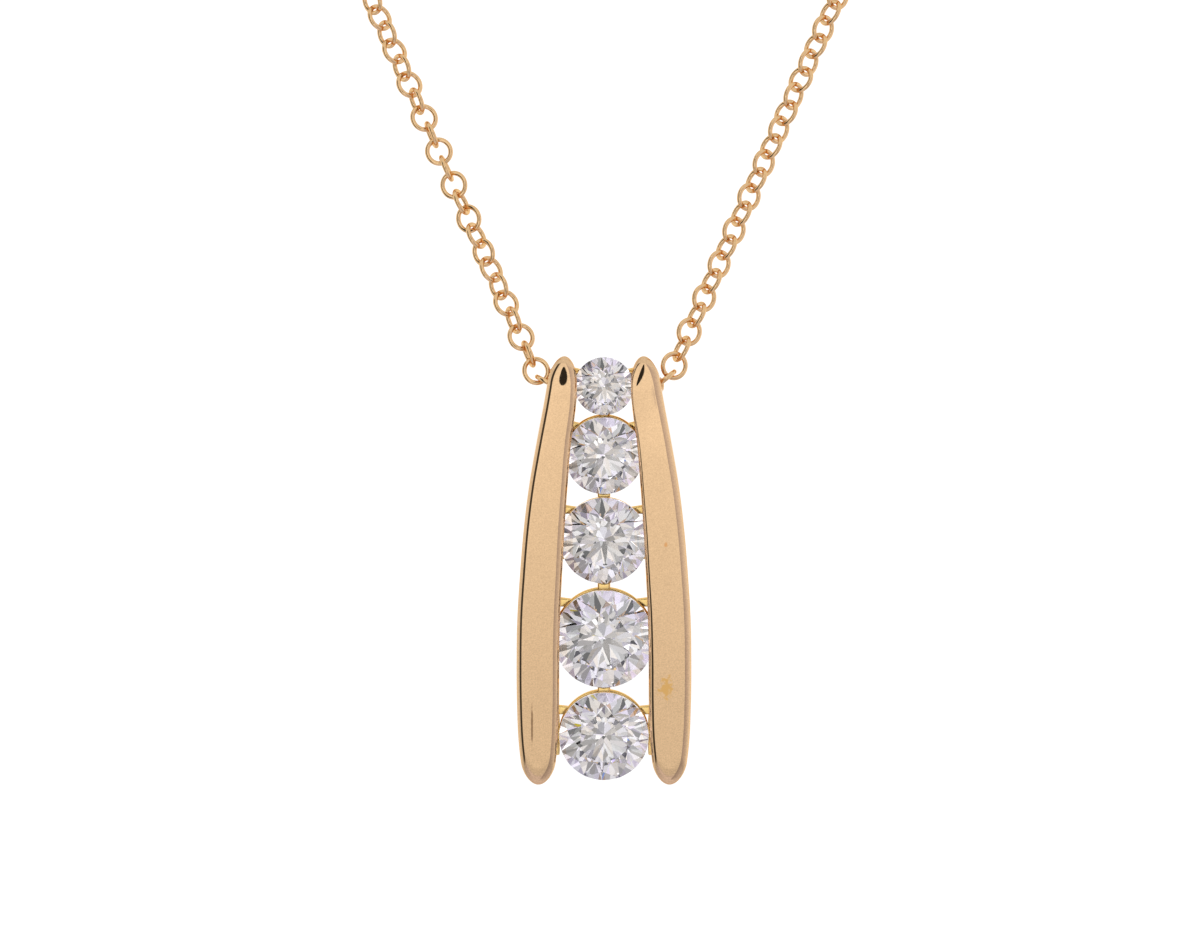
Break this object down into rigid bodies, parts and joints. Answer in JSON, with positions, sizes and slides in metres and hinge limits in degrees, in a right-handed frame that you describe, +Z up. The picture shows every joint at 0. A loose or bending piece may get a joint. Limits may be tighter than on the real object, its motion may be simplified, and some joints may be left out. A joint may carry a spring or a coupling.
{
  "type": "five-stone pendant on a chain",
  "caption": "Necklace pendant of two tapering curved gold bars with graduated round brilliants between them, hung by hidden hoops on a fine trace chain.",
  "frame": {"origin": "the nape, on the inner side of the clasp, where the necklace is held", "axes": "+X to the right as seen from the front, +Y towards the back, +Z up"},
  "size_m": [0.1066, 0.1054, 0.152],
  "materials": {
    "gold": "polished 14 carat gold of a warm yellow-rose tone, lightly worn",
    "diamond": "clear faceted diamond",
    "chain_gold": "polished gold wire"
  },
  "bodies": {
    "necklace": {"chain_front": "chain_gold", "chain_back": "chain_gold", "clasp": "chain_gold"},
    "pendant": {"frame": "gold", "stone_1": "diamond", "stone_2": "diamond", "stone_3": "diamond", "stone_4": "diamond", "stone_5": "diamond"}
  },
  "joints": [
    {"name": "pendant_swing", "type": "hinge", "parent": "necklace", "child": "pendant", "pos_m": [0, -0.1, -0.132], "axis": [1, 0, 0], "range_deg": [-60, 90]}
  ]
}
